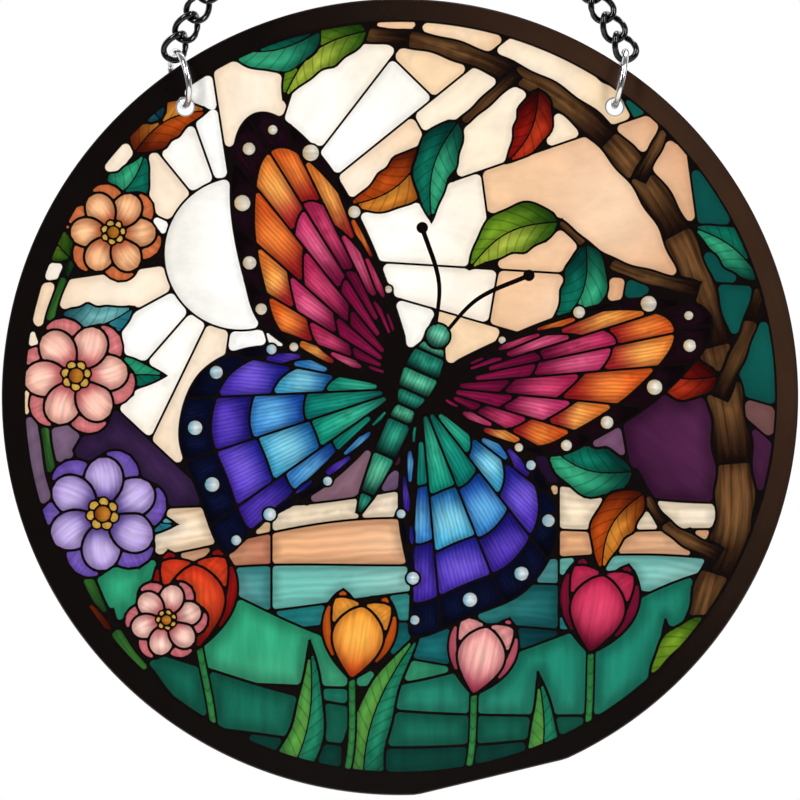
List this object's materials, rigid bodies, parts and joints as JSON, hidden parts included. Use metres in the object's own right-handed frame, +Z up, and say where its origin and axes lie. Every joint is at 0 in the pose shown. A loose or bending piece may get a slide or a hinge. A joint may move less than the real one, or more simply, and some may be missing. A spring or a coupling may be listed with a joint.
{
  "type": "hanging printed suncatcher",
  "caption": "Round clear acrylic panel with a leaded-glass style print, drilled near the top and hung by two split rings on a fine black chain.",
  "frame": {"origin": "the point where a hook bears, under the upper bar of the middle link of the chain", "axes": "+Z up, +X to the right as the picture is seen, -Y out of the picture towards the viewer"},
  "size_m": [0.15, 0.0116, 0.2159],
  "materials": {
    "printed_acrylic": "clear cast acrylic sheet, glossy, with a translucent many-coloured print",
    "bright_steel": "bright nickel plated steel wire",
    "black_chain": "glossy black plated steel wire"
  },
  "bodies": {
    "root": {"panel": "printed_acrylic", "split_ring_left": "bright_steel", "split_ring_right": "bright_steel", "link_left_01": "black_chain", "link_left_02": "black_chain", "link_left_03": "black_chain", "link_left_04": "black_chain", "link_left_05": "black_chain", "link_left_06": "black_chain", "link_left_07": "black_chain", "link_left_08": "black_chain", "link_left_09": "black_chain", "link_left_10": "black_chain", "link_left_11": "black_chain", "link_left_12": "black_chain", "link_left_13": "black_chain", "link_left_14": "black_chain", "link_left_15": "black_chain", "link_left_16": "black_chain", "link_left_17": "black_chain", "link_left_18": "black_chain", "link_left_19": "black_chain", "link_left_20": "black_chain", "link_right_01": "black_chain", "link_right_02": "black_chain", "link_right_03": "black_chain", "link_right_04": "black_chain", "link_right_05": "black_chain", "link_right_06": "black_chain", "link_right_07": "black_chain", "link_right_08": "black_chain", "link_right_09": "black_chain", "link_right_10": "black_chain", "link_right_11": "black_chain", "link_right_12": "black_chain", "link_right_13": "black_chain", "link_right_14": "black_chain", "link_right_15": "black_chain", "link_right_16": "black_chain", "link_right_17": "black_chain", "link_right_18": "black_chain", "link_right_19": "black_chain", "link_right_20": "black_chain", "link_middle": "black_chain"}
  },
  "joints": []
}
